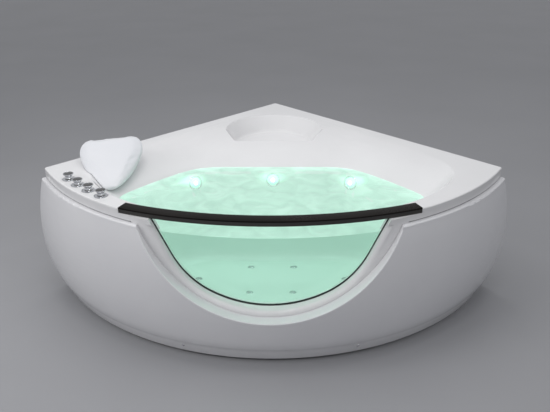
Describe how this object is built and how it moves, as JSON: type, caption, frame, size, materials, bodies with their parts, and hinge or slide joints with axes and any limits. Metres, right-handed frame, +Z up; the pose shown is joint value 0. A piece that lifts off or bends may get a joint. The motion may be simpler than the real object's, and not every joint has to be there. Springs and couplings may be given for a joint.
{
  "type": "corner bathtub",
  "caption": "Corner bathtub with a bowed front panel, a U-shaped glass window under a dark rail, headrest, deck knobs, lights and air jets, on a steel frame.",
  "frame": {"origin": "centre of the bounding box at floor level, under the foot pads", "axes": "+Z up; the bowed front faces -Y; the corner of the room is at +Y; +X is to the right when looking at the front"},
  "size_m": [1.9852, 1.5388, 0.6689],
  "materials": {
    "acrylic_white": "high gloss moulded acrylic",
    "panel_white": "high gloss moulded acrylic",
    "clear_glass": "clear toughened, faint green tint",
    "rubber_black": "matte",
    "seal_grey": "matte",
    "rail_dark": "dark polished bar",
    "rail_grey": "satin",
    "chrome": "mirror polished",
    "lens_green": "translucent, lit green from behind",
    "pad_white": "soft skinned foam, satin",
    "brass": "turned",
    "steel": "zinc plated",
    "frame_paint": "grey powder coat",
    "board": "bonded chipboard",
    "plastic_grey": "moulded",
    "plastic_white": "moulded",
    "plastic_black": "moulded",
    "motor_paint": "satin black"
  },
  "bodies": {
    "tub": {"tub_shell": "acrylic_white", "window_pane": "clear_glass", "window_gasket": "seal_grey", "rail_channel": "rail_grey", "rail_cap": "rail_dark", "rail_seal": "rubber_black", "front_apron": "panel_white", "apron_edge_seal": "seal_grey", "apron_brackets": "steel", "apron_screws": "chrome", "valve_hot": "brass", "valve_cold": "brass", "valve_drain": "plastic_grey", "valve_air": "plastic_grey", "knob_escutcheons": "chrome", "valve_nuts": "brass", "filler_plate": "chrome", "filler_body": "brass", "filler_nut": "brass", "waste_flange": "chrome", "plug_guide": "brass", "waste_trap": "plastic_white", "waste_outlet": "plastic_white", "waste_nut": "plastic_grey", "light_bezels": "chrome", "light_lenses": "lens_green", "light_housings": "plastic_black", "light_nuts": "plastic_black", "air_jet_caps": "chrome", "air_jet_bodies": "plastic_grey", "air_ring": "plastic_grey", "base_frame": "frame_paint", "frame_posts": "frame_paint", "floor_board": "board", "foot_rods": "steel", "foot_nuts": "steel", "foot_pads": "plastic_black", "equipment_plate": "steel", "blower_housing": "plastic_black", "blower_motor": "motor_paint", "air_hose": "rubber_black", "control_box": "plastic_grey", "cable_gland": "plastic_black", "headrest_pillow": "pad_white", "headrest_pins": "steel", "mixing_tee": "brass", "filler_hose": "rubber_black", "drain_cable": "plastic_black", "air_switch_tube": "plastic_grey"},
    "knob_hot": {"knob_hot": "chrome", "spindle_hot": "brass"},
    "knob_cold": {"knob_cold": "chrome", "spindle_cold": "brass"},
    "knob_drain": {"knob_drain": "chrome", "spindle_drain": "brass"},
    "knob_air": {"knob_air": "chrome", "spindle_air": "brass"},
    "plug": {"drain_plug": "chrome"},
    "impeller": {"blower_impeller": "plastic_grey"}
  },
  "joints": [
    {"name": "hot_turn", "type": "hinge", "parent": "tub", "child": "knob_hot", "pos_m": [-0.8118, -0.30356, 0.6], "axis": [0, 0, 1], "range_deg": [0, 90]},
    {"name": "cold_turn", "type": "hinge", "parent": "tub", "child": "knob_cold", "pos_m": [-0.75837, -0.36182, 0.6], "axis": [0, 0, 1], "range_deg": [-90, 0]},
    {"name": "drain_turn", "type": "hinge", "parent": "tub", "child": "knob_drain", "pos_m": [-0.70076, -0.41596, 0.6], "axis": [0, 0, 1], "range_deg": [0, 90]},
    {"name": "air_turn", "type": "hinge", "parent": "tub", "child": "knob_air", "pos_m": [-0.6393, -0.46568, 0.6], "axis": [0, 0, 1], "range_deg": [0, 270]},
    {"name": "plug_lift", "type": "slide", "parent": "tub", "child": "plug", "axis": [0, 0, 1], "range_m": [0, 0.01]},
    {"name": "impeller_spin", "type": "hinge", "parent": "tub", "child": "impeller", "pos_m": [0, 0.3255, 0.185], "axis": [0, 0, 1], "continuous": true}
  ],
  "couplings": [
    {"joint": "drain_turn", "follows": "plug_lift", "rad_per_m": 157}
  ]
}
